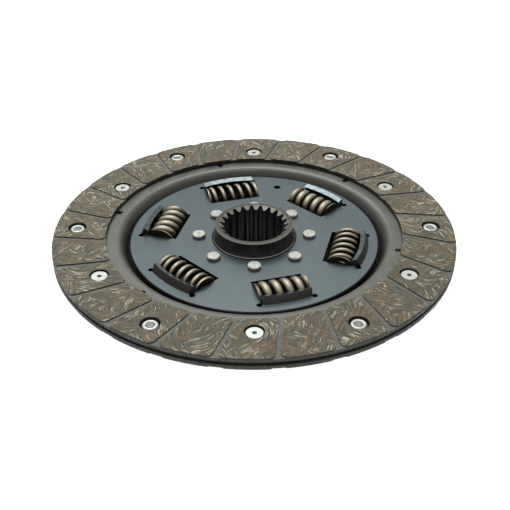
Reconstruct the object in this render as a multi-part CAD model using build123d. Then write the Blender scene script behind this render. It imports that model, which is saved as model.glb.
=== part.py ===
from build123d import *
from math import asin, cos, degrees, hypot, pi, radians, sin, tan
import os

# Spring-damped clutch disc, in millimetres and degrees
# The disc turns about Z, and Z = 0 is the middle of the cushion paddles between the two facings

# Friction facings
facing_outer_radius = 100.0
facing_inner_radius = 74.0
facing_thickness = 2.3
pad_count = 24
pad_height = 0.55
pad_edge_inset = 0.15
pad_outer_corner = 2.8
pad_inner_corner = 2.2
groove_width = 2.3
groove_slant = 12.5
groove_angle = 7.0

# Rivets that hold the facings to the paddles
facing_rivet_count = 12
head_row_inset = 8.7
tail_row_inset = 11.1
facing_rivet_hole = 9.2
facing_rivet_head = 7.4
facing_rivet_head_height = 0.8
facing_rivet_recess = 0.6
facing_rivet_shank = 4.0
facing_rivet_dimple = 2.2
facing_rivet_dimple_depth = 1.2
facing_rivet_tail = 7.3
facing_rivet_tail_height = 2.1
facing_rivet_tail_edge = 0.6
facing_rivet_roll = 0.8
facing_rivet_hollow = 3.4

# Carrier disc, one pressed sheet with a cushion paddle between each two windows
sheet_thickness = 1.1
paddle_wave = 0.15
paddle_wave_points = 13
paddle_outer_inset = 4.0
paddle_slot_width = 3.0
paddle_slot_overrun = 3.2
dish_depth = 6.45
dish_slope = 57.0
dish_outer_bend = 3.0
dish_inner_bend = 3.0
dish_foot_inset = 0.6

# Cover plates
plate_rim_width = 5.2
plate_thickness = 2.5
plate_edge_chamfer = 0.4
locating_hole_radius = 1.9
locating_hole_circle = 51.8
locating_hole_angle = 75.5

# Spring windows, heavy and light in turn around the disc
window_count = 6
first_window_angle = 45.5
lip_clearance = 1.7
relief_radius = 1.35
relief_offset = 0.9
lip_bend_angle = 65.0
lip_bend_radius = 0.5
lip_straight = 3.8
lip_end_gap = 0.1

# Damper springs
spring_circle_radius = 46.2
spring_outer_diameter = 15.5
heavy_spring_length = 24.6
heavy_wire = 3.7
heavy_pitch = 5.5
light_spring_length = 27.4
light_wire = 2.6
light_pitch = 5.0

# Hub
hub_front = 5.4
hub_length = 25.0
hub_rim_wall = 2.4
hub_flare = 1.4
hub_collar_height = 3.1
hub_flare_hollow = 0.35
hub_rear_wall = 3.3
hub_chamfer = 0.4
hub_collar_chamfer = 0.3
hub_rear_chamfer = 1.0
flange_margin = 1.05

# Internal spline of the hub
spline_teeth = 22
spline_major_radius = 17.2
spline_tooth_height = 2.0
spline_tooth_tip = 1.3
spline_root_width = 1.3
spline_tip_rounding = 0.3
spline_root_rounding = 0.45
first_space_angle = 12.7
lead_in_slope = 35.0
lead_in_step = 0.2

# Rivets through the cover plates and the hub flange
hub_rivet_count = 8
hub_rivet_circle = 27.9
hub_rivet_shank = 4.8
hub_rivet_head = 6.7
hub_rivet_head_height = 1.8
hub_rivet_head_edge = 0.35

# Friction stack between the cover plates
friction_washer_thickness = 0.8
backing_washer_thickness = 0.5
spring_washer_thickness = 0.45
spring_washer_height = 0.7

# Clearances
rivet_fit = 0.05
rivet_seat_gap = 0.01
centring_fit = 0.3
spring_side_gap = 0.8
hub_collar_gap = 0.5

# Heights worked out from the sizes above
paddle_crest = sheet_thickness / 2 + paddle_wave
sheet_clearing = 2 * paddle_crest
facing_top = paddle_crest + facing_thickness
web_middle = -dish_depth
web_front = web_middle + sheet_thickness / 2
web_rear = web_middle - sheet_thickness / 2
front_plate_rear = web_front + friction_washer_thickness
front_plate_front = front_plate_rear + plate_thickness
rear_washer_rear = web_rear - friction_washer_thickness
backing_washer_rear = rear_washer_rear - backing_washer_thickness
rear_plate_front = backing_washer_rear - spring_washer_height
rear_plate_rear = rear_plate_front - plate_thickness
hub_rear = hub_front - hub_length

# Radii worked out from the sizes above, from the spline outwards
spline_minor_radius = spline_major_radius - spline_tooth_height
hub_rim_radius = spline_major_radius + hub_rim_wall
hub_rear_radius = spline_major_radius + hub_rear_wall
hub_collar_radius = hub_rim_radius + hub_flare
plate_hole_radius = hub_collar_radius + hub_collar_gap
flange_radius = hub_rivet_circle + hub_rivet_head / 2 + flange_margin
carrier_bore_radius = flange_radius + centring_fit
washer_inner_radius = carrier_bore_radius + centring_fit
spring_inner_edge = spring_circle_radius - spring_outer_diameter / 2
spring_outer_edge = spring_circle_radius + spring_outer_diameter / 2
spring_reach = hypot(spring_outer_edge, light_spring_length / 2)
window_inner_edge = spring_inner_edge - spring_side_gap
washer_outer_radius = window_inner_edge - spring_side_gap / 2
carrier_window_outer_radius = spring_reach + spring_side_gap
window_outer_radius = spring_reach + lip_clearance
plate_outer_radius = window_outer_radius + plate_rim_width
dish_foot_radius = plate_outer_radius - dish_foot_inset
paddle_slot_end_radius = facing_inner_radius - paddle_slot_overrun
head_row_radius = facing_inner_radius + head_row_inset
tail_row_radius = facing_outer_radius - tail_row_inset
paddle_outer_radius = facing_outer_radius - paddle_outer_inset

# Angles worked out from the counts above
pad_pitch = 360 / pad_count
first_pad_angle = groove_angle - pad_pitch / 2
window_pitch = 360 / window_count
facing_rivet_pitch = 360 / facing_rivet_count
# The first facing rivet at 0 degrees shows its tail to the front, and the next one its head
tail_row_angle = 0.0
head_row_angle = tail_row_angle + facing_rivet_pitch
rivets_per_side = facing_rivet_count // 2


def disc(inner, outer, bottom, top):
    """Flat ring between two radii and two heights."""
    ring = Circle(outer) - Circle(inner)
    return Pos(0, 0, bottom) * extrude(ring, top - bottom)


def pins(radius, circle, count, start, bottom, top):
    """Group of upright cylinders on a circle, used for holes."""
    spots = PolarLocations(circle, count, start)
    outline = Sketch() + [spot * Circle(radius) for spot in spots]
    return Pos(0, 0, bottom) * extrude(outline, top - bottom)


def spin(section):
    """Solid of revolution about Z from a section drawn in the XZ plane."""
    return revolve(Plane.XZ * section, Axis.Z)


def from_axis(corner):
    """Distance of a vertex from the axis."""
    return hypot(corner.X, corner.Y)


def flip(shape):
    """Copy turned over to face -Z, with its angles kept about the axis."""
    return mirror(shape, Plane.XY)


# Friction facings


def groove_outline():
    """One straight groove, turned from the radius at the middle of the facing."""
    middle = (facing_outer_radius + facing_inner_radius) / 2
    reach = 2 * (facing_outer_radius - facing_inner_radius)
    return Pos(middle, 0) * Rot(0, 0, -groove_slant) * Rectangle(reach, groove_width)


def pad_outline():
    """One pad centred on +X, between two grooves, with its four corners rounded."""
    edge = facing_outer_radius - pad_edge_inset
    ring = Circle(edge) - Circle(facing_inner_radius)
    chord = 2 * facing_outer_radius * sin(radians(pad_pitch))
    near = Pos(facing_inner_radius, 0) * Rectangle(facing_outer_radius, chord)
    grooves = Sketch() + [Rot(0, 0, side * pad_pitch / 2) * groove_outline() for side in (-1, 1)]
    pieces = ((ring & near) - grooves).faces()
    pad = Sketch() + min(pieces, key=lambda face: abs(face.center().Y))
    pad = fillet(pad.vertices().sort_by(from_axis)[2:], pad_outer_corner)
    return fillet(pad.vertices().sort_by(from_axis)[:2], pad_inner_corner)


def facing_blank():
    """Facing that faces the front, before its rivet holes."""
    body = disc(facing_inner_radius, facing_outer_radius, paddle_crest, facing_top - pad_height)
    pad = pad_outline()
    pads = Sketch() + [spot * pad for spot in PolarLocations(0, pad_count, first_pad_angle)]
    return body + Pos(0, 0, facing_top - pad_height) * extrude(pads, pad_height)


def facing(head_angle, head_radius, tail_angle, tail_radius):
    """Facing with counterbored holes for its own rivets and through holes over the other ones."""
    seat = facing_top - facing_rivet_recess - facing_rivet_head_height
    shank = facing_rivet_shank / 2 + rivet_fit
    hole = facing_rivet_hole / 2
    count = rivets_per_side
    body = facing_blank()
    body -= pins(hole, head_radius, count, head_angle, seat, facing_top)
    body -= pins(shank, head_radius, count, head_angle, 0, facing_top)
    body -= pins(hole, tail_radius, count, tail_angle, 0, facing_top)
    return body


def front_facing():
    """Facing on the front, held by the rivets whose heads show there."""
    return facing(head_row_angle, head_row_radius, tail_row_angle, tail_row_radius)


def rear_facing():
    """Facing on the rear, the same part turned over and held by the other rivets."""
    return flip(facing(tail_row_angle, tail_row_radius, head_row_angle, head_row_radius))


def facing_rivet():
    """Tubular rivet on Z with its head up, as it sits in the front facing on a paddle crest."""
    head_top = facing_top - facing_rivet_recess
    head_seat = head_top - facing_rivet_head_height
    tail_seat = paddle_crest - sheet_thickness - rivet_seat_gap
    tail_end = tail_seat - facing_rivet_tail_height
    head = facing_rivet_head / 2
    shank = facing_rivet_shank / 2
    dimple = facing_rivet_dimple / 2
    tail = facing_rivet_tail / 2
    hollow = facing_rivet_hollow / 2
    dimple_floor = head_top - facing_rivet_dimple_depth
    hollow_floor = tail_seat
    roll_start = tail_seat - facing_rivet_tail_edge
    roll_inner = tail_end + facing_rivet_roll
    upper = Polyline(
        (0, hollow_floor),
        (0, dimple_floor),
        (dimple, dimple_floor),
        (dimple, head_top),
        (head, head_top),
        (head, head_seat),
        (shank, head_seat),
        (shank, tail_seat),
        (tail, tail_seat),
        (tail, roll_start),
    )
    roll = ThreePointArc((tail, roll_start), ((tail + hollow) / 2, tail_end), (hollow, roll_inner))
    lower = Polyline((hollow, roll_inner), (hollow, hollow_floor), (0, hollow_floor))
    return spin(make_face(upper + roll + lower))


def front_facing_rivets():
    """Rivets of the front facing, heads to the front."""
    spots = PolarLocations(head_row_radius, rivets_per_side, head_row_angle)
    return Compound(children=[spot * facing_rivet() for spot in spots])


def rear_facing_rivets():
    """Rivets of the rear facing, rolled tails to the front."""
    spots = PolarLocations(tail_row_radius, rivets_per_side, tail_row_angle)
    return Compound(children=[spot * flip(facing_rivet()) for spot in spots])


# Carrier disc


def dish_edge(side):
    """One face line of the dished sheet, from the bore out to the paddles, in radius and height."""
    turn = radians(dish_slope)
    drop = dish_depth - (dish_inner_bend + dish_outer_bend) * (1 - cos(turn))
    across = (dish_inner_bend + dish_outer_bend) * sin(turn) + drop * cos(turn) / sin(turn)
    foot = dish_foot_radius
    crest = foot + across
    inner_bend = dish_inner_bend - side
    outer_bend = dish_outer_bend + side

    def on_inner_bend(angle):
        return (foot + inner_bend * sin(angle), web_middle + dish_inner_bend - inner_bend * cos(angle))

    def on_outer_bend(angle):
        return (crest - outer_bend * sin(angle), outer_bend * cos(angle) - dish_outer_bend)

    web = Line((carrier_bore_radius, web_middle + side), on_inner_bend(0))
    rise = ThreePointArc(on_inner_bend(0), on_inner_bend(turn / 2), on_inner_bend(turn))
    slope = Line(on_inner_bend(turn), on_outer_bend(turn))
    ease = ThreePointArc(on_outer_bend(turn), on_outer_bend(turn / 2), on_outer_bend(0))
    rim = Line(on_outer_bend(0), (paddle_slot_end_radius + paddle_slot_width, side))
    return web + rise + slope + ease + rim


def dished_sheet():
    """Dished middle of the carrier disc at its full thickness."""
    front = dish_edge(sheet_thickness / 2)
    rear = dish_edge(-sheet_thickness / 2)
    ends = Line(front @ 0, rear @ 0) + Line(front @ 1, rear @ 1)
    return spin(make_face(front + rear + ends))


def paddle_section():
    """Wavy strip across a paddle: a crest under one rivet and a trough under the next."""
    row_radius = (head_row_radius + tail_row_radius) / 2
    half_wave = 2 * row_radius * sin(radians(facing_rivet_pitch / 2))
    half_width = paddle_outer_radius * sin(radians(window_pitch / 2))
    last = paddle_wave_points - 1
    places = [half_width * (2 * point / last - 1) for point in range(paddle_wave_points)]
    middle = [(place, paddle_wave * sin(pi * place / half_wave)) for place in places]
    half = sheet_thickness / 2
    upper = Spline([(place, height + half) for place, height in middle])
    lower = Spline([(place, height - half) for place, height in reversed(middle)])
    right = Line(upper @ 1, lower @ 0)
    left = Line(lower @ 1, upper @ 0)
    return make_face(upper + right + lower + left)


def paddle():
    """One cushion paddle about +X, a wavy strip trimmed to its sector."""
    root = paddle_slot_end_radius
    strip = extrude(Plane.YZ.offset(root / 2) * paddle_section(), paddle_outer_radius)
    outline = Circle(paddle_outer_radius) - Circle(root + paddle_slot_width / 2)
    half_turn = radians(window_pitch / 2)
    reach = 2 * paddle_outer_radius
    wedge = make_face(
        Polyline(
            (0, 0),
            (reach * cos(half_turn), -reach * sin(half_turn)),
            (reach * cos(half_turn), reach * sin(half_turn)),
            (0, 0),
        )
    )
    slots = Sketch()
    for side in (-1, 1):
        slots += Rot(0, 0, side * window_pitch / 2) * slot_outline()
    depth = 2 * sheet_clearing
    return strip & Pos(0, 0, -sheet_clearing) * extrude((outline & wedge) - slots, depth)


def slot_outline():
    """Slot between two paddles along +X, with a round inner end."""
    half = paddle_slot_width / 2
    middle = Pos(paddle_slot_end_radius + half, 0)
    open_end = Rectangle(facing_outer_radius, paddle_slot_width, align=(Align.MIN, Align.CENTER))
    return middle * (Circle(half) + open_end)


def carrier_disc():
    """Pressed carrier disc with its paddles, slots, spring windows and rivet holes."""
    paddle_start = first_window_angle + window_pitch / 2
    body = dished_sheet()
    for spot in PolarLocations(0, window_count, paddle_start):
        body += spot * paddle()
    depth = 2 * sheet_clearing
    slots = Sketch()
    for spot in PolarLocations(0, window_count, first_window_angle):
        slots += spot * slot_outline()
    body -= Pos(0, 0, -sheet_clearing) * extrude(slots, depth)
    holes = facing_rivet_shank / 2 + rivet_fit
    for circle, angle in ((head_row_radius, head_row_angle), (tail_row_radius, tail_row_angle)):
        body -= pins(holes, circle, rivets_per_side, angle, -sheet_clearing, sheet_clearing)
    windows = windows_outline(carrier_window_outer_radius)
    return body - Pos(0, 0, web_middle - sheet_clearing) * extrude(windows, depth)


# Spring windows


def window_length(index):
    """Length of a window along its spring."""
    if index % 2:
        return light_spring_length
    return heavy_spring_length


def window_turn(index):
    """Angle of a window about the axis."""
    return first_window_angle + index * window_pitch


def window_outline(length, outer_radius):
    """Window about +X with a straight inner edge, parallel sides and an arc at its outer edge."""
    strip = Rectangle(outer_radius, length, align=(Align.MIN, Align.CENTER))
    return (Pos(window_inner_edge, 0) * strip) & Circle(outer_radius)


def windows_outline(outer_radius):
    """All six windows of one sheet."""
    outline = Sketch()
    for index in range(window_count):
        window = window_outline(window_length(index), outer_radius)
        outline += Rot(0, 0, window_turn(index)) * window
    return outline


def relief_spots(length):
    """Places of the two relief holes at the ends of a lip."""
    side = length / 2 + relief_offset
    turn = degrees(asin(side / window_outer_radius))
    return [Rot(0, 0, sign * turn) * Pos(window_outer_radius, 0) for sign in (-1, 1)]


# Cover plates


def lip_section():
    """Section of a window lip, bent up from the plate and leaning in over its spring."""
    start = window_outer_radius + lip_bend_radius * sin(radians(lip_bend_angle))
    centre_height = front_plate_front + lip_bend_radius
    outer_bend = lip_bend_radius + plate_thickness
    turn = radians(lip_bend_angle)

    def on_bend(radius, angle):
        return (start - radius * sin(angle), centre_height - radius * cos(angle))

    def along(point):
        return (point[0] - lip_straight * cos(turn), point[1] + lip_straight * sin(turn))

    foot_top = on_bend(lip_bend_radius, 0)
    foot_bottom = on_bend(outer_bend, 0)
    root_outside = on_bend(lip_bend_radius, turn)
    root_inside = on_bend(outer_bend, turn)
    outside = ThreePointArc(foot_top, on_bend(lip_bend_radius, turn / 2), root_outside)
    tip = Polyline(root_outside, along(root_outside), along(root_inside), root_inside)
    inside = ThreePointArc(root_inside, on_bend(outer_bend, turn / 2), foot_bottom)
    foot = Line(foot_bottom, foot_top)
    return make_face(outside + tip + inside + foot)


def lip_foot_radius():
    """Radius at which the flat plate ends and the bend of a lip starts."""
    return window_outer_radius + lip_bend_radius * sin(radians(lip_bend_angle))


def lip(length):
    """One lip about +X, trimmed to the sides of its window."""
    width = length - 2 * lip_end_gap
    height = 4 * plate_thickness + lip_straight
    keep = Box(plate_outer_radius, width, height, align=(Align.MIN, Align.CENTER, Align.CENTER))
    return spin(lip_section()) & Pos(window_inner_edge, 0, front_plate_front) * keep


def front_cover_plate():
    """Front cover plate with six lipped windows and its holes."""
    body = disc(plate_hole_radius, plate_outer_radius, front_plate_rear, front_plate_front)
    rims = body.edges().filter_by(GeomType.CIRCLE).sort_by(SortBy.RADIUS)[-2:]
    body = chamfer(rims, plate_edge_chamfer)
    bottom = front_plate_rear - plate_thickness
    depth = 3 * plate_thickness
    body -= Pos(0, 0, bottom) * extrude(windows_outline(lip_foot_radius()), depth)
    for index in range(window_count):
        length = window_length(index)
        turn = Rot(0, 0, window_turn(index))
        body += turn * lip(length)
        relief = Sketch() + [spot * Circle(relief_radius) for spot in relief_spots(length)]
        body -= turn * Pos(0, 0, bottom) * extrude(relief, depth)
    shank = hub_rivet_shank / 2 + rivet_fit
    top = bottom + depth
    body -= pins(shank, hub_rivet_circle, hub_rivet_count, 0, bottom, top)
    locating = pins(locating_hole_radius, locating_hole_circle, 1, locating_hole_angle, bottom, top)
    return body - locating


def rear_cover_plate():
    """Rear cover plate, the front one turned over."""
    gap_middle = (front_plate_rear + rear_plate_front) / 2
    return mirror(front_cover_plate(), Plane.XY.offset(gap_middle))


# Damper springs


def coil_spring(length, wire, pitch):
    """Coil spring on Z about the origin with flat ground ends."""
    radius = (spring_outer_diameter - wire) / 2
    wound = length + 2 * pitch
    path = Helix(pitch, wound, radius, center=(0, 0, -wound / 2))
    coil = sweep(Plane(origin=path @ 0, z_dir=path % 0) * Circle(wire / 2), path=path, is_frenet=True)
    return coil & Cylinder(spring_outer_diameter, length)


def damper_spring(index):
    """Spring in its window, lying across the radius."""
    if index % 2:
        spring = coil_spring(light_spring_length, light_wire, light_pitch)
    else:
        spring = coil_spring(heavy_spring_length, heavy_wire, heavy_pitch)
    seat = Pos(spring_circle_radius, 0, web_middle) * Rot(90, 0, 0)
    return Rot(0, 0, window_turn(index)) * seat * spring


# Splined hub


def spline_space():
    """Space between two teeth about +X, from inside the bore to the root."""
    mouth_pitch = 2 * pi * spline_minor_radius / spline_teeth
    mouth = (mouth_pitch - spline_tooth_tip) / 2
    root = spline_root_width / 2
    flare = (mouth - root) / 2
    inner = spline_minor_radius - spline_tooth_height / 2
    outer = spline_major_radius + spline_tooth_height / 2
    wedge = Polyline(
        (inner, -mouth - flare),
        (outer, -root + flare),
        (outer, root - flare),
        (inner, mouth + flare),
        (inner, -mouth - flare),
    )
    return make_face(wedge) & Circle(spline_major_radius)


def spline_bore():
    """Outline of the splined bore, with rounded tooth tips and roots."""
    outline = Sketch() + Circle(spline_minor_radius)
    outline += [spot * spline_space() for spot in PolarLocations(0, spline_teeth, first_space_angle)]
    middle = (spline_minor_radius + spline_major_radius) / 2
    roots = outline.vertices().filter_by(lambda corner: from_axis(corner) > middle)
    outline = fillet(roots, spline_root_rounding)
    tips = outline.vertices().filter_by(lambda corner: from_axis(corner) < middle)
    return fillet(tips, spline_tip_rounding)


def spline_lead_in():
    """Cone that bevels the front ends of the teeth down towards the bore."""
    mouth = spline_major_radius + lead_in_step
    depth = (mouth - spline_minor_radius) * tan(radians(lead_in_slope))
    section = Polyline(
        (0, hub_front),
        (mouth, hub_front),
        (spline_minor_radius, hub_front - depth),
        (0, hub_front - depth),
        (0, hub_front),
    )
    return spin(make_face(section))


def hub_section():
    """Half section of the hub: flared front collar, flange and rear boss."""
    collar_top = front_plate_rear + hub_collar_height
    flare_start = (hub_rim_radius, hub_front - hub_chamfer)
    flare_end = (hub_collar_radius - hub_collar_chamfer, collar_top)
    flare_middle = (
        (flare_start[0] + flare_end[0]) / 2 - hub_flare_hollow,
        (flare_start[1] + flare_end[1]) / 2,
    )
    rim = Polyline((0, hub_rear), (0, hub_front), (hub_rim_radius - hub_chamfer, hub_front), flare_start)
    flare = ThreePointArc(flare_start, flare_middle, flare_end)
    rest = Polyline(
        flare_end,
        (hub_collar_radius, collar_top - hub_collar_chamfer),
        (hub_collar_radius, front_plate_rear),
        (flange_radius, front_plate_rear),
        (flange_radius, rear_plate_front),
        (hub_rear_radius, rear_plate_front),
        (hub_rear_radius, hub_rear + hub_rear_chamfer),
        (hub_rear_radius - hub_rear_chamfer, hub_rear),
        (0, hub_rear),
    )
    return make_face(rim + flare + rest)


def splined_hub():
    """Hub with its flange, internal spline and rivet holes."""
    body = spin(hub_section())
    body -= Pos(0, 0, hub_rear) * extrude(spline_bore(), hub_length)
    body -= spline_lead_in()
    shank = hub_rivet_shank / 2 + rivet_fit
    holes = pins(shank, hub_rivet_circle, hub_rivet_count, 0, rear_plate_front, front_plate_rear)
    return body - holes


def hub_rivet():
    """Solid rivet on Z through both plates and the flange, with a crowned head at each end."""
    shank = hub_rivet_shank / 2
    head = hub_rivet_head / 2
    edge = hub_rivet_head_edge
    front_seat = front_plate_front
    rear_seat = rear_plate_rear
    top = front_seat + hub_rivet_head_height
    bottom = rear_seat - hub_rivet_head_height
    outline = Polyline(
        (0, bottom),
        (head - edge, bottom),
        (head, bottom + edge),
        (head, rear_seat),
        (shank, rear_seat),
        (shank, front_seat),
        (head, front_seat),
        (head, top - edge),
        (head - edge, top),
        (0, top),
        (0, bottom),
    )
    return spin(make_face(outline))


def hub_rivets():
    """Rivets that clamp the cover plates to the hub flange."""
    spots = PolarLocations(hub_rivet_circle, hub_rivet_count)
    return Compound(children=[spot * hub_rivet() for spot in spots])


# Friction stack


def conical_spring_washer():
    """Coned washer, its outer edge on the backing washer and its inner edge on the rear plate."""
    inner = washer_inner_radius
    outer = washer_outer_radius
    thickness = spring_washer_thickness
    section = Polyline(
        (inner, rear_plate_front),
        (inner, rear_plate_front + thickness),
        (outer, backing_washer_rear),
        (outer, backing_washer_rear - thickness),
        (inner, rear_plate_front),
    )
    return spin(make_face(section))


def friction_ring(rear, front):
    """Flat washer of the friction stack."""
    return disc(washer_inner_radius, washer_outer_radius, rear, front)


# Assembly

nodes = {
    "front_facing": front_facing(),
    "rear_facing": rear_facing(),
    "carrier_disc": carrier_disc(),
    "front_cover_plate": front_cover_plate(),
    "rear_cover_plate": rear_cover_plate(),
    "splined_hub": splined_hub(),
    "hub_rivets": hub_rivets(),
    "front_facing_rivets": front_facing_rivets(),
    "rear_facing_rivets": rear_facing_rivets(),
    "front_friction_washer": friction_ring(web_front, front_plate_rear),
    "rear_friction_washer": friction_ring(rear_washer_rear, web_rear),
    "backing_washer": friction_ring(backing_washer_rear, rear_washer_rear),
    "conical_spring_washer": conical_spring_washer(),
}
for index in range(window_count):
    kind = "light_spring" if index % 2 else "heavy_spring"
    nodes[f"{kind}_{index // 2 + 1}"] = damper_spring(index)

os.makedirs("parts", exist_ok=True)
for name, shape in nodes.items():
    export_step(shape, f"parts/{name}.step")
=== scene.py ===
from math import cos, pi, radians, sin

import bpy
from mathutils import Matrix, Vector


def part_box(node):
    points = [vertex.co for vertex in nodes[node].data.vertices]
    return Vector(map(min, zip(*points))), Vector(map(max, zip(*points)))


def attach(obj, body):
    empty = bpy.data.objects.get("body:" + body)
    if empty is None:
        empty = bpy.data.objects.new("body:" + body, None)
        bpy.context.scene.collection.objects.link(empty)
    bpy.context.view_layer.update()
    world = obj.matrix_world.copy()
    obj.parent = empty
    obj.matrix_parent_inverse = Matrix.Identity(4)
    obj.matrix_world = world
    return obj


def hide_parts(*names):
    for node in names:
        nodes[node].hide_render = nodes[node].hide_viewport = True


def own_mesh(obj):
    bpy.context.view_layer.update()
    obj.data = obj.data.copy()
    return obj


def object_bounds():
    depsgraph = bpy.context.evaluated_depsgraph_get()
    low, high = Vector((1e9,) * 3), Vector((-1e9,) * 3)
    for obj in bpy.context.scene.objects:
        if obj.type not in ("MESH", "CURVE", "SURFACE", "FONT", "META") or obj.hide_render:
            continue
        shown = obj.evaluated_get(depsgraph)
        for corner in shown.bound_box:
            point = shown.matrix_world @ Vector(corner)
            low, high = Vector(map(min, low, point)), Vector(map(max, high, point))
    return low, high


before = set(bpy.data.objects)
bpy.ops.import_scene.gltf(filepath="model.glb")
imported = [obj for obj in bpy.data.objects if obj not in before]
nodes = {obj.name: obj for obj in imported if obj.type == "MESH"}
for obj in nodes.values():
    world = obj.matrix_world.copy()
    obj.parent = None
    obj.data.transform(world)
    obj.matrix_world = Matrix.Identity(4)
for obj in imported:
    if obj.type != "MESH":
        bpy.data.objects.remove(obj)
cad_low, cad_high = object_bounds()

# Lengths are in metres and angles in degrees, in the part's own frame with its axis on Z.
# A name that ends in _step holds the two values between which a soft step rises, or falls where the
# first is the larger. A roughness of two numbers is what the surface goes between.

MM = 0.001

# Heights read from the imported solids
facing_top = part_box("front_facing")[1].z
hub_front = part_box("splined_hub")[1].z

# Front of the cover plates, the middle between them, and the roots of the spline
plate_front = -2.6 * MM
plates_middle = -7.05 * MM
spline_radius = 17.2 * MM

# Steps that several materials share
noise_step = (0.3, 0.7)
whole_step = (0.0, 1.0)
side_step = (0.75, 0.35)


# Node helpers


class Nodes:
    """Short calls that add and link the nodes of one tree."""

    def __init__(self, tree):
        self.tree = tree

    def node(self, kind, **settings):
        made = self.tree.nodes.new(kind)
        for name, value in settings.items():
            setattr(made, name, value)
        return made

    def wire(self, value, socket):
        """Links a socket, or sets a plain value."""
        if isinstance(value, bpy.types.NodeSocket):
            self.tree.links.new(value, socket)
        else:
            socket.default_value = value

    def math(self, operation, *values):
        made = self.node("ShaderNodeMath", operation=operation)
        for value, socket in zip(values, made.inputs):
            self.wire(value, socket)
        return made.outputs[0]

    def seen(self):
        """1 on rays from the camera, also mirrored or through glass, and 0 on diffuse light."""
        path = self.node("ShaderNodeLightPath")
        direct = self.math("MAXIMUM", path.outputs["Is Camera Ray"], path.outputs["Is Glossy Ray"])
        return self.math("MAXIMUM", direct, path.outputs["Is Transmission Ray"])


class Shader(Nodes):
    """A material with a principled shader and short calls for its patterns."""

    def __init__(self, name):
        self.material = bpy.data.materials.new(name)
        self.material.use_nodes = True
        super().__init__(self.material.node_tree)
        self.surface = self.tree.nodes["Principled BSDF"]

    def set(self, name, value):
        self.wire(value, self.surface.inputs[name])

    def linked(self, name):
        """What a socket of the surface is linked to."""
        return self.surface.inputs[name].links[0].from_socket

    def plus(self, first, second):
        return self.math("ADD", first, second)

    def times(self, first, second):
        return self.math("MULTIPLY", first, second)

    def ramp(self, value, step, start=0.0, end=1.0):
        """Soft step of a value, from start to end."""
        made = self.node("ShaderNodeMapRange", interpolation_type="SMOOTHSTEP")
        for given, socket in zip((value, *step, start, end), made.inputs):
            self.wire(given, socket)
        return made.outputs[0]

    def place(self):
        """Place in the part's frame."""
        return self.node("ShaderNodeTexCoord").outputs["Object"]

    def parts(self, vector):
        """The three numbers of a vector."""
        split = self.node("ShaderNodeSeparateXYZ")
        self.wire(vector, split.inputs[0])
        return split.outputs[0], split.outputs[1], split.outputs[2]

    def distance(self, x, y):
        """Length of a flat vector."""
        return self.math("SQRT", self.plus(self.times(x, x), self.times(y, y)))

    def vector(self, x, y, z):
        made = self.node("ShaderNodeCombineXYZ")
        for value, socket in zip((x, y, z), made.inputs):
            self.wire(value, socket)
        return made.outputs[0]

    def noise(self, vector, scale, detail=3.0, roughness=0.5):
        made = self.node("ShaderNodeTexNoise")
        self.wire(vector, made.inputs["Vector"])
        made.inputs["Scale"].default_value = scale
        made.inputs["Detail"].default_value = detail
        made.inputs["Roughness"].default_value = roughness
        return made.outputs["Fac"]

    def chance(self, vector):
        """Random value that stays the same within whole steps of a vector."""
        made = self.node("ShaderNodeTexWhiteNoise", noise_dimensions="3D")
        self.wire(vector, made.inputs["Vector"])
        return made.outputs["Value"]

    def mix(self, share, first, second):
        """Mixes two colours."""
        made = self.node("ShaderNodeMix", data_type="RGBA")
        for value, index in zip((share, first, second), (0, 6, 7)):
            self.wire(value, made.inputs[index])
        return made.outputs[2]

    def blend(self, share, first, second):
        """Mixes two numbers."""
        made = self.node("ShaderNodeMix", data_type="FLOAT")
        for value, index in zip((share, first, second), (0, 2, 3)):
            self.wire(value, made.inputs[index])
        return made.outputs[0]

    def bump(self, height, distance, strength):
        made = self.node("ShaderNodeBump")
        self.wire(height, made.inputs["Height"])
        made.inputs["Distance"].default_value = distance
        made.inputs["Strength"].default_value = strength
        self.set("Normal", made.outputs[0])

    def rise(self):
        """Axial part of the surface's normal: 1 to the front, 0 on an upright wall, -1 to the rear."""
        return self.parts(self.node("ShaderNodeNewGeometry").outputs["Normal"])[2]

    def level(self):
        """1 on a flat top or underside and 0 on an upright wall."""
        return self.math("ABSOLUTE", self.rise())

    def side(self):
        """Share of a surface that stands upright."""
        return self.ramp(self.level(), side_step)


def colour(red, green, blue):
    """Linear colour of a display colour given as three numbers from 0 to 255."""

    def linear(value):
        share = value / 255
        if share <= 0.04045:
            return share / 12.92
        return ((share + 0.055) / 1.055) ** 2.4

    return (linear(red), linear(green), linear(blue), 1.0)


# Facing: yarn wound to and fro between two radii, moulded in resin and ground flat

yarn_middle_radius = 87.0 * MM
yarn_swing = 15.5 * MM
yarn_waves = 9.0
yarn_wander = 0.15
yarn_pitch = 0.46 * MM
yarn_piece_length = 3.4 * MM
yarn_travel = 14.0 * MM
yarn_patch = 10.0 * MM
cluster_width = 0.16
strand_width_step = (0.06, 0.30)
strand_end_step = (0.0, 0.14)

# What a strand's own chance, its cluster and a bare place add to or take from its chance value
chance_share = 0.8
cluster_share = 0.3
bare_share = 0.12

# Share of resin between the strands that is in shadow, and most that fine noise lays over a strand
shadow_share = 0.35
smear_share = 0.35

# Spots of fibre on the inner walls, per radian and per metre of height
fibres_around = 160.0
fibres_up = 700.0

fine_relief = 0.4
relief_depth = 0.07 * MM
yarn_roughness = (0.68, 0.45)

# Seeds of the two families, and what is added for the second draw of each
first_seed = 3.0
second_seed = 21.0
piece_seed_shift = 5.0

# Noise between which one family gives way to the other, strands get sparse, or a tint changes
crossing_step = (0.48, 0.52)
bare_step = (0.42, 0.62)
warm_step = (0.42, 0.58)
resin_step = (0.35, 0.65)
fibre_step = (0.45, 0.72)

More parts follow.
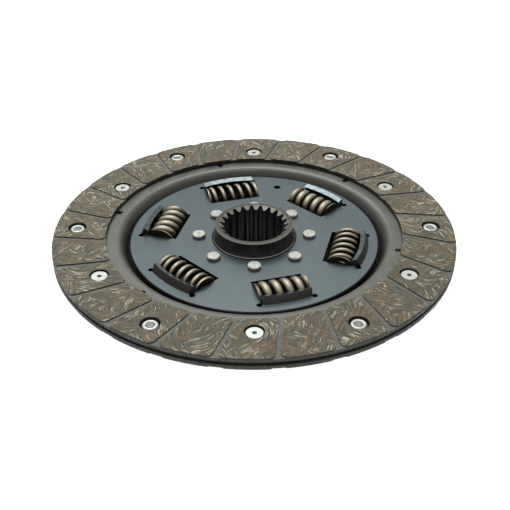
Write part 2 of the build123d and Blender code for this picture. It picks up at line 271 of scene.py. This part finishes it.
# Chance value from which a strand is brown, tan or cream, stands proud, or is glossier
brown_step = (0.36, 0.44)
tan_step = (0.58, 0.66)
cream_step = (0.80, 0.86)
relief_step = (0.4, 0.8)
gloss_step = (0.5, 0.85)

# Pads above the floor of the grooves, the outer wall, and painted shade at the seam where the facing meets
# the carrier
groove_depth = 0.55 * MM
groove_floor = facing_top - groove_depth
pad_step = (groove_floor + 0.1 * MM, groove_floor + 0.45 * MM)
outer_wall_step = (97.0 * MM, 99.0 * MM)
seam_shade_step = (1.3 * MM, 1.0 * MM)

resin_green = colour(67, 70, 58)
resin_brown = colour(88, 83, 62)
resin_shadow = colour(60, 57, 48)
strand_grey = colour(107, 103, 82)
strand_brown = colour(133, 100, 66)
strand_sand = colour(125, 120, 95)
strand_tan = colour(144, 124, 91)
strand_cream = colour(232, 226, 200)
groove_dark = colour(92, 91, 84)
groove_light = colour(112, 111, 103)
# Near-black painted shade on the inner walls, under lighter spots of fibre
inner_wall_shade = colour(20, 19, 17)
inner_wall_light = colour(92, 85, 70)
outer_wall_dark = colour(84, 83, 78)
outer_wall_light = colour(106, 105, 98)
# Painted shade on the walls next to the carrier disc, in the gap between the facings
seam_shade = colour(14, 13, 11)


def yarn_family(shader, sense, place, radius, angle, seed):
    """Short strands along one of the two crossing families of yarn: their chance value and their shape."""
    swing = shader.math("DIVIDE", shader.math("SUBTRACT", radius, yarn_middle_radius), yarn_swing)
    phase = shader.math("ARCSINE", swing)
    wander = shader.times(shader.noise(place, scale=70.0, detail=1.5), yarn_wander)
    turn = shader.plus(shader.math("MULTIPLY_ADD", phase, sense / yarn_waves, angle), wander)
    across = shader.times(turn, yarn_middle_radius / yarn_pitch)
    row = shader.math("FLOOR", across)
    shift = shader.chance(shader.vector(row, seed, 0.0))
    along = shader.math("MULTIPLY_ADD", phase, yarn_travel / yarn_piece_length, shift)
    piece = shader.math("FLOOR", along)
    grouped = shader.vector(shader.times(across, cluster_width), along, seed)
    cluster = shader.noise(grouped, scale=1.0, detail=1.0)
    chance = shader.chance(shader.vector(row, piece, seed + piece_seed_shift))
    key = shader.plus(shader.times(chance, chance_share), shader.times(cluster, cluster_share))
    width = shader.ramp(shader.math("PINGPONG", across, 0.5), strand_width_step)
    ends = shader.ramp(shader.math("PINGPONG", along, 0.5), strand_end_step)
    return key, shader.times(width, ends)


def crossing_yarn(shader, place, radius, angle):
    """Both families, each in patches of its own, with fewer strands where the noise is high."""
    first, first_shape = yarn_family(shader, 1.0, place, radius, angle, first_seed)
    second, second_shape = yarn_family(shader, -1.0, place, radius, angle, second_seed)
    patches = shader.noise(place, scale=1 / yarn_patch, detail=1.0, roughness=0.4)
    crossing = shader.ramp(patches, crossing_step)
    bare = shader.times(shader.ramp(shader.noise(place, scale=80.0, detail=2.0), bare_step), bare_share)
    key = shader.math("SUBTRACT", shader.blend(crossing, first, second), bare)
    return key, shader.blend(crossing, first_shape, second_shape)


def yarn_colour(shader, place, key, shape, fine):
    """Strands from brown to cream by their chance value, and resin between them."""
    patches = shader.noise(place, scale=110.0, detail=3.0, roughness=0.6)
    resin = shader.mix(shader.ramp(patches, resin_step), resin_green, resin_brown)
    warm = shader.ramp(shader.noise(place, scale=170.0, detail=2.0), warm_step)
    brown = shader.mix(warm, strand_grey, strand_brown)
    tan = shader.mix(warm, strand_sand, strand_tan)
    strand = shader.mix(shader.ramp(key, brown_step), resin, brown)
    strand = shader.mix(shader.ramp(key, tan_step), strand, tan)
    strand = shader.mix(shader.ramp(key, cream_step), strand, strand_cream)
    strand = shader.mix(shader.ramp(fine, noise_step, end=smear_share), strand, resin)
    return shader.mix(shape, shader.mix(shadow_share, resin, resin_shadow), strand)


def wall_colour(shader, place, radius, angle, height):
    """Upright fibres over painted shade on the inner walls, a smoother outer wall, and painted shade at the
    seam beside the carrier disc.
    """
    fibres = shader.vector(shader.times(angle, fibres_around), 0.0, shader.times(height, fibres_up))
    torn = shader.ramp(shader.noise(fibres, scale=1.0, detail=4.0, roughness=0.7), fibre_step)
    # Spots of fibre over painted shade on the inner walls
    inner = shader.mix(torn, inner_wall_shade, inner_wall_light)
    outer = shader.mix(shader.noise(place, scale=600.0, detail=4.0), outer_wall_dark, outer_wall_light)
    wall = shader.mix(shader.ramp(radius, outer_wall_step), inner, outer)
    # Painted shade at the seam beside the carrier disc
    return shader.mix(shader.ramp(shader.math("ABSOLUTE", height), seam_shade_step), wall, seam_shade)


def facing_material():
    """Yarn in resin on the pads, smooth resin in the grooves, and the walls."""
    shader = Shader("facing_yarn")
    place = shader.place()
    x, y, height = shader.parts(place)
    radius = shader.distance(x, y)
    angle = shader.math("ARCTAN2", y, x)
    key, shape = crossing_yarn(shader, place, radius, angle)
    fine = shader.noise(place, scale=1400.0, detail=3.0, roughness=0.6)
    on_pad = shader.ramp(height, pad_step)
    groove = shader.mix(shader.noise(place, scale=420.0, detail=4.0), groove_dark, groove_light)
    top = shader.mix(on_pad, groove, yarn_colour(shader, place, key, shape, fine))
    wall = wall_colour(shader, place, radius, angle, height)
    shader.set("Base Color", shader.mix(shader.side(), top, wall))
    relief = shader.times(shader.times(shape, shader.ramp(key, relief_step)), on_pad)
    shader.bump(shader.plus(relief, shader.times(fine, fine_relief)), relief_depth, strength=0.7)
    shader.set("Roughness", shader.ramp(key, gloss_step, *yarn_roughness))
    shader.set("Specular IOR Level", 0.35)
    return shader.material


# Metals

# Shares of the clouds and of the fine grain in how worn a place is
cloud_share = 0.7
grain_share = 0.3


def steel_shader(name, dark, light, roughness, metallic, cloud_scale, grain=0.03):
    """Metal whose colour and gloss wander a little, with a fine grain of a depth in millimetres."""
    shader = Shader(name)
    place = shader.place()
    cloud = shader.noise(place, cloud_scale, detail=4.0, roughness=0.6)
    fine = shader.noise(place, scale=2600.0, detail=2.0)
    shader.set("Base Color", shader.mix(shader.ramp(cloud, noise_step), colour(*dark), colour(*light)))
    shader.set("Metallic", metallic)
    worn = shader.plus(shader.times(cloud, cloud_share), shader.times(fine, grain_share))
    shader.set("Roughness", shader.ramp(worn, noise_step, *roughness))
    shader.bump(fine, distance=grain * MM, strength=0.5)
    return shader


# Splined hub, with the lower and upper end of its rubbed front rim
rim_step = (hub_front - 1.9 * MM, hub_front - 0.9 * MM)
bore_step = (spline_radius + 0.3 * MM, spline_radius)
rim_highlight_step = (spline_radius + 1.7 * MM, spline_radius + 2.1 * MM)
flat_step = (0.4, 0.7)
bevel_step = (0.97, 0.90)
rubbed_step = (0.2, 0.5)
hub_metallic = (0.3, 1.0)
hub_roughness = (0.28, 0.45)
scratch_depth = 0.03 * MM
hub_dark = colour(24, 23, 21)
hub_light = colour(40, 38, 35)
bore_painted_sheen = colour(54, 57, 59)
rim_inner_grey = colour(64, 64, 59)
rim_edge_highlight = colour(116, 113, 105)
bevel_wear_and_highlight = colour(112, 112, 105)


def hub_material():
    """Blackened steel, rubbed grey on its front rim, with a painted highlight on the rim's outer edge and on
    its bevels, and a painted sheen in the bore.
    """
    shader = Shader("hub_black")
    place = shader.place()
    x, y, height = shader.parts(place)
    radius = shader.distance(x, y)
    scratches = shader.noise(place, scale=700.0, detail=5.0, roughness=0.7)
    level = shader.level()
    top = shader.ramp(level, flat_step)
    # Bevels on top are rubbed metal, painted lighter as a painted highlight
    bevel = shader.times(top, shader.ramp(level, bevel_step))
    rim = shader.times(shader.ramp(height, rim_step), top)
    rubbed = shader.times(rim, shader.ramp(scratches, rubbed_step))
    outside = shader.mix(shader.noise(place, scale=240.0), hub_dark, hub_light)
    # The bore is painted a lighter grey, a painted sheen on the spline teeth
    black = shader.mix(shader.ramp(radius, bore_step), outside, bore_painted_sheen)
    # The outer edge of the rubbed rim is painted lighter, a painted highlight
    grey = shader.mix(shader.ramp(radius, rim_highlight_step), rim_inner_grey, rim_edge_highlight)
    shader.set("Base Color", shader.mix(bevel, shader.mix(rubbed, black, grey), bevel_wear_and_highlight))
    shader.set("Metallic", shader.ramp(shader.math("MAXIMUM", rubbed, bevel), whole_step, *hub_metallic))
    shader.set("Roughness", shader.ramp(scratches, noise_step, *hub_roughness))
    shader.bump(scratches, scratch_depth, strength=0.5)
    return shader.material


# Cover plates, whose lips stand proud of the sheet on both outer sides
plate_metallic = 0.4
sheared_metallic = 1.0
sheared_roughness = (0.38, 0.26)
sheet_proud = plate_front - plates_middle
lip_step = (sheet_proud + 0.15 * MM, sheet_proud + 0.5 * MM)
lip_shade_step = (0.85, 0.5)
sheared_step = (0.80, 0.88)
cut_wall_shade_step = (0.95, 0.75)
torn_step = (0.35, 0.65)
cut_wall_shade = colour(26, 26, 24)
lip_face_shade = colour(58, 58, 56)
sheared_dark = colour(70, 80, 81)
sheared_light = colour(86, 96, 97)


def plate_material():
    """Blue-grey sheet with painted shade on its cut walls and bent lips, and bare on the sheared ends of the
    lips.
    """
    shader = steel_shader("plate_steel", (67, 80, 82), (71, 84, 86), (0.34, 0.40), plate_metallic, 90.0)
    sheet = shader.linked("Base Color")
    place = shader.place()
    level = shader.level()
    from_middle = shader.math("ABSOLUTE", shader.math("SUBTRACT", shader.parts(place)[2], plates_middle))
    raised = shader.ramp(from_middle, lip_step)
    # Painted shade on the upright faces of the bent lips
    bent = shader.times(shader.ramp(level, lip_shade_step), raised)
    sheared = shader.times(shader.ramp(level, sheared_step), raised)
    # Painted shade on the upright cut walls
    walls = shader.mix(shader.ramp(level, cut_wall_shade_step), sheet, cut_wall_shade)
    lips = shader.mix(bent, walls, lip_face_shade)
    torn = shader.ramp(shader.noise(place, scale=380.0), torn_step)
    bare = shader.mix(torn, sheared_dark, sheared_light)
    shader.set("Base Color", shader.mix(sheared, lips, bare))
    shader.set("Metallic", shader.ramp(sheared, whole_step, plate_metallic, sheared_metallic))
    shader.set("Roughness", shader.ramp(sheared, whole_step, *sheared_roughness))
    return shader.material


# Carrier disc, whose dish goes down to a foot beside the front cover plate
carrier_metallic = 0.4
front_step = (-0.1, 0.1)
dish_shade_step = (-0.1 * MM, -3.2 * MM)
foot_shade_step = (-2.8 * MM, -3.9 * MM)
dish_shade_share = 0.75
dish_shade = colour(34, 34, 31)
foot_shade = colour(12, 12, 12)


def carrier_material():
    """Satin grey sheet, with painted shade down the front of its dish and black painted shade at its foot
    beside the front cover plate.
    """
    shader = steel_shader("carrier_steel", (80, 81, 74), (89, 90, 83), (0.42, 0.52), carrier_metallic, 140.0)
    sheet = shader.linked("Base Color")
    height = shader.parts(shader.place())[2]
    front = shader.ramp(shader.rise(), front_step)
    # Painted shade deepening down the front of the dish
    deep_shade = shader.times(shader.ramp(height, dish_shade_step, end=dish_shade_share), front)
    # Black painted shade at the foot of the dish, in the gap beside the front cover plate
    foot = shader.times(shader.ramp(height, foot_shade_step), front)
    dish = shader.mix(deep_shade, sheet, dish_shade)
    shader.set("Base Color", shader.mix(foot, dish, foot_shade))
    shader.set("Metallic", shader.ramp(foot, whole_step, start=carrier_metallic, end=0.0))
    return shader.material


rivet_side_shade = colour(128, 132, 126)


def hub_rivet_material():
    """Zinc rivet head, its side painted a darker grey than its top as painted shade."""
    shader = steel_shader("hub_rivet_steel", (132, 133, 126), (170, 171, 164), (0.36, 0.5), 0.7, 700.0)
    # Painted shade on the side of the head
    shader.set("Base Color", shader.mix(shader.side(), shader.linked("Base Color"), rivet_side_shade))
    return shader.material


coil_shade_step = (0.40, 0.95)
coil_flank_shade = colour(46, 41, 30)


def spring_material():
    """Bronze-tinted spring wire, with painted shade on the flanks of its coils."""
    shader = steel_shader("spring_wire", (130, 124, 109), (144, 137, 121), (0.47, 0.53), 1.0, 300.0, 0.008)
    # Painted shade on the flanks of the coils, while the outside keeps the wire's colour
    outside = shader.ramp(shader.level(), coil_shade_step)
    shader.set("Base Color", shader.mix(outside, coil_flank_shade, shader.linked("Base Color")))
    return shader.material


def plain_steel(*values):
    return steel_shader(*values).material


facing_yarn = facing_material()
carrier_grey = carrier_material()
plate_blue = plate_material()
hub_black = hub_material()
hub_rivet_steel = hub_rivet_material()
rivet_steel = plain_steel("facing_rivet_steel", (160, 162, 157), (182, 184, 179), (0.42, 0.5), 0.6, 500.0)
filling_steel = plain_steel("rivet_filling_steel", (98, 100, 96), (126, 128, 123), (0.45, 0.6), 0.6, 1100.0)
washer_steel = plain_steel("washer_steel", (104, 104, 104), (134, 134, 132), (0.35, 0.5), 1.0, 200.0)
friction_black = plain_steel(
    "friction_ring_composite", (44, 42, 40), (70, 66, 60), (0.6, 0.8), 0.0, 500.0, 0.08
)
spring_wire = spring_material()

dressed_nodes = {
    "front_facing": facing_yarn,
    "rear_facing": facing_yarn,
    "carrier_disc": carrier_grey,
    "front_cover_plate": plate_blue,
    "rear_cover_plate": plate_blue,
    "splined_hub": hub_black,
    "hub_rivets": hub_rivet_steel,
    "front_facing_rivets": rivet_steel,
    "rear_facing_rivets": rivet_steel,
    "front_friction_washer": friction_black,
    "rear_friction_washer": friction_black,
    "backing_washer": washer_steel,
    "conical_spring_washer": washer_steel,
}
for name, material in dressed_nodes.items():
    nodes[name].data.materials.clear()
    nodes[name].data.materials.append(material)


# Mesh helpers


def even_angles(count):
    """Angles in radians, evenly spaced around a circle."""
    return [2 * pi * index / count for index in range(count)]


def tube_faces(start, rings, corners):
    """Faces of a tube of rings of points, closed at both ends."""
    faces = []
    for ring in range(rings - 1):
        first = start + ring * corners
        second = first + corners
        for corner in range(corners):
            beside = (corner + 1) % corners
            faces.append((first + corner, second + corner, second + beside, first + beside))
    last = start + (rings - 1) * corners
    faces.append(tuple(range(start, start + corners)))
    faces.append(tuple(reversed(range(last, last + corners))))
    return faces


def add_object(name, data):
    item = bpy.data.objects.new(name, data)
    bpy.context.scene.collection.objects.link(item)
    return item


# Springs in the windows of the cover plates, heavy and light in turn around the disc

window_count = 6
first_window_angle = 45.5
spring_circle_radius = 46.2 * MM
spring_axis_height = -6.45 * MM
spring_outer_diameter = 15.5 * MM

# Closed turns lie close together and ground turns are cut away, at the first end and at the last
heavy_spring = {
    "length": 24.6 * MM,
    "wire": 4.6 * MM,
    "turns": 5.45,
    "closed": (1.1, 1.1),
    "ground": (0.3, 0.15),
}
light_spring = {
    "length": 27.4 * MM,
    "wire": 2.6 * MM,
    "turns": 6.6,
    "closed": (1.1, 0.6),
    "ground": (0.3, 0.0),
}
spring_body = "damper_springs"

# The spring that sits end for end
turned_spring = 1

# Rise of a closed turn in wires, and the turns over which the coil opens
closed_pitch = 1.02
opening_turns = 0.6

# Share of the difference in wire by which a thicker wire stands out at the ends
end_inset = 0.15

ring_points = 18
points_per_turn = 40
sharp_angle = 50


def coil_heights(spring):
    """Heights of the middle of the wire, from the first end of the coil to the last."""
    length, wire, turns = spring["length"], spring["wire"], spring["turns"]
    first_closed, last_closed = spring["closed"]
    first_ground, last_ground = spring["ground"]
    closed = wire * closed_pitch
    inset = (light_spring["wire"] - wire) * end_inset
    rise = length - 2 * inset + (first_ground + last_ground) * closed
    free = (rise - (first_closed + last_closed) * closed) / (turns - first_closed - last_closed)
    heights = [inset - first_ground * closed - length / 2]
    for step in range(int(turns * points_per_turn)):
        turn = (step + 0.5) / points_per_turn
        near_end = min(turn - first_closed, turns - turn - last_closed)
        share = min(max((near_end + opening_turns / 2) / opening_turns, 0), 1)
        heights.append(heights[-1] + (closed + (free - closed) * share) / points_per_turn)
    return heights


def spring_mesh(name, spring):
    """Wire wound around Z, its middle at the origin, cut flat at both ends of its length."""
    length, wire = spring["length"], spring["wire"]
    coil_radius = (spring_outer_diameter - wire) / 2
    first_ground = spring["ground"][0]
    heights = coil_heights(spring)
    points = []
    for step, height in enumerate(heights):
        turn = 2 * pi * (step / points_per_turn - first_ground) - pi / 2
        outward = Vector((cos(turn), sin(turn), 0))
        for around in even_angles(ring_points):
            point = outward * (coil_radius + wire / 2 * cos(around))
            point.z = height + wire / 2 * sin(around)
            point.z = min(max(point.z, -length / 2), length / 2)
            points.append(point)
    mesh = bpy.data.meshes.new(name)
    mesh.from_pydata(points, [], tube_faces(0, len(heights), ring_points))
    mesh.polygons.foreach_set("use_smooth", [True] * len(mesh.polygons))
    mesh.update()
    return mesh


def add_spring(index):
    heavy = index % 2 == 0
    spring = heavy_spring if heavy else light_spring
    name = ("heavy" if heavy else "light") + f"_spring_{index // 2 + 1}"
    angle = radians(first_window_angle + 360 / window_count * index)
    outward = Vector((cos(angle), sin(angle), 0))
    along = Vector((-sin(angle), cos(angle), 0))
    centre = outward * spring_circle_radius + Vector((0, 0, spring_axis_height))
    mesh = spring_mesh(name + "_wire", spring)
    if index == turned_spring:
        mesh.transform(Matrix.Rotation(pi, 4, "Y"))
    seat = Matrix((outward, Vector((0, 0, -1)), along)).transposed().to_4x4()
    seat.translation = centre
    mesh.transform(seat)
    mesh.materials.append(spring_wire)
    item = add_object(name + "_wire", mesh)
    item.modifiers.new("sharp_ends", "EDGE_SPLIT").split_angle = radians(sharp_angle)
    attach(item, spring_body)
    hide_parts(name)
    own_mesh(item)


for index in range(window_count):
    add_spring(index)


# Swaged filling of the facing rivets' tails

tail_count = 6
tail_circle_radius = 88.9 * MM
tail_hollow_radius = 1.7 * MM
tail_hollow_floor = 0.41 * MM
filling_top = 2.0 * MM
filling_edge = 0.2 * MM
filling_corners = 32


def add_tail_fillings():
    """Short plugs that close the hollow tails a little below their rolled edges."""
    profile = (
        (tail_hollow_radius - filling_edge, filling_top),
        (tail_hollow_radius, filling_top - filling_edge),
        (tail_hollow_radius, tail_hollow_floor),
    )
    points, faces = [], []
    for turn in even_angles(tail_count):
        middle = Vector((cos(turn), sin(turn), 0)) * tail_circle_radius
        faces += tube_faces(len(points), len(profile), filling_corners)
        for radius, height in profile:
            for around in even_angles(filling_corners):
                points.append(middle + Vector((radius * cos(around), radius * sin(around), height)))
    mesh = bpy.data.meshes.new("rivet_tail_fillings")
    mesh.from_pydata(points, [], faces)
    mesh.materials.append(filling_steel)
    item = add_object("rivet_tail_fillings", mesh)
    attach(item, "friction_disc")


add_tail_fillings()


# Floor, surroundings, light and camera

white = (1, 1, 1, 1)

floor_half = 4.0
floor_grey = (0.8, 0.8, 0.8, 1.0)
floor_roughness = 0.9

# The floor stays unlit by itself around a place a little behind the part's axis
dark_floor_back = 12 * MM
dark_floor_step = (81 * MM, 92 * MM)

# Strength of the surroundings in diffuse light, and as they are seen
world_fill = 0.13
world_seen = 1.0

lamp_place = (-0.10, 0.34, 0.78)
lamp_size = 0.65
lamp_power = 8.0

# Camera of the photograph, with its roll in radians
camera_place = Vector((0, -349.29, 222.49)) * MM
camera_target = Vector((0.393, -25.384, 3.0)) * MM
camera_roll = -0.0031
camera_lens = 57.812
sensor_width = 36.0
near_clip = 0.01


def add_floor():
    mesh = bpy.data.meshes.new("studio_floor")
    signs = ((-1, -1), (1, -1), (1, 1), (-1, 1))
    corners = [(x * floor_half, y * floor_half, cad_low[2]) for x, y in signs]
    mesh.from_pydata(corners, [], [(0, 1, 2, 3)])
    item = add_object("studio_floor", mesh)
    shader = Shader("floor_white")
    shader.set("Base Color", floor_grey)
    shader.set("Roughness", floor_roughness)
    shader.set("Emission Color", white)
    x, y = shader.parts(shader.place())[:2]
    radius = shader.distance(x, shader.math("SUBTRACT", y, dark_floor_back))
    shader.set("Emission Strength", shader.times(shader.seen(), shader.ramp(radius, dark_floor_step)))
    mesh.materials.append(shader.material)


def add_world():
    world = bpy.data.worlds.new("studio")
    bpy.context.scene.world = world
    world.use_nodes = True
    tree = Nodes(world.node_tree)
    background = world.node_tree.nodes["Background"]
    tree.wire(white, background.inputs["Color"])
    strength = tree.node("ShaderNodeMapRange")
    tree.wire(tree.seen(), strength.inputs["Value"])
    tree.wire(world_fill, strength.inputs["To Min"])
    tree.wire(world_seen, strength.inputs["To Max"])
    tree.wire(strength.outputs[0], background.inputs["Strength"])


def add_lamp():
    """Soft box that looks at the middle of the part."""
    lamp = bpy.data.lights.new("overhead_softbox", "AREA")
    lamp.shape = "SQUARE"
    lamp.size = lamp_size
    lamp.energy = lamp_power
    item = add_object("overhead_softbox", lamp)
    item.location = lamp_place
    item.rotation_euler = Vector(lamp_place).to_track_quat("Z", "Y").to_euler()


def add_camera():
    view = (camera_target - camera_place).normalized()
    right = view.cross(Vector((0, 0, 1))).normalized()
    up = right.cross(view)
    tilted_right = right * cos(camera_roll) + up * sin(camera_roll)
    tilted_up = up * cos(camera_roll) - right * sin(camera_roll)
    turned = Matrix((tilted_right, tilted_up, -view)).transposed().to_4x4()
    turned.translation = camera_place
    camera = bpy.data.cameras.new("photo_camera")
    camera.lens = camera_lens
    camera.sensor_width = sensor_width
    camera.clip_start = near_clip
    item = add_object("photo_camera", camera)
    item.matrix_world = turned
    bpy.context.scene.camera = item


add_floor()
add_world()
add_lamp()
add_camera()
bpy.context.scene.view_settings.view_transform = "Standard"
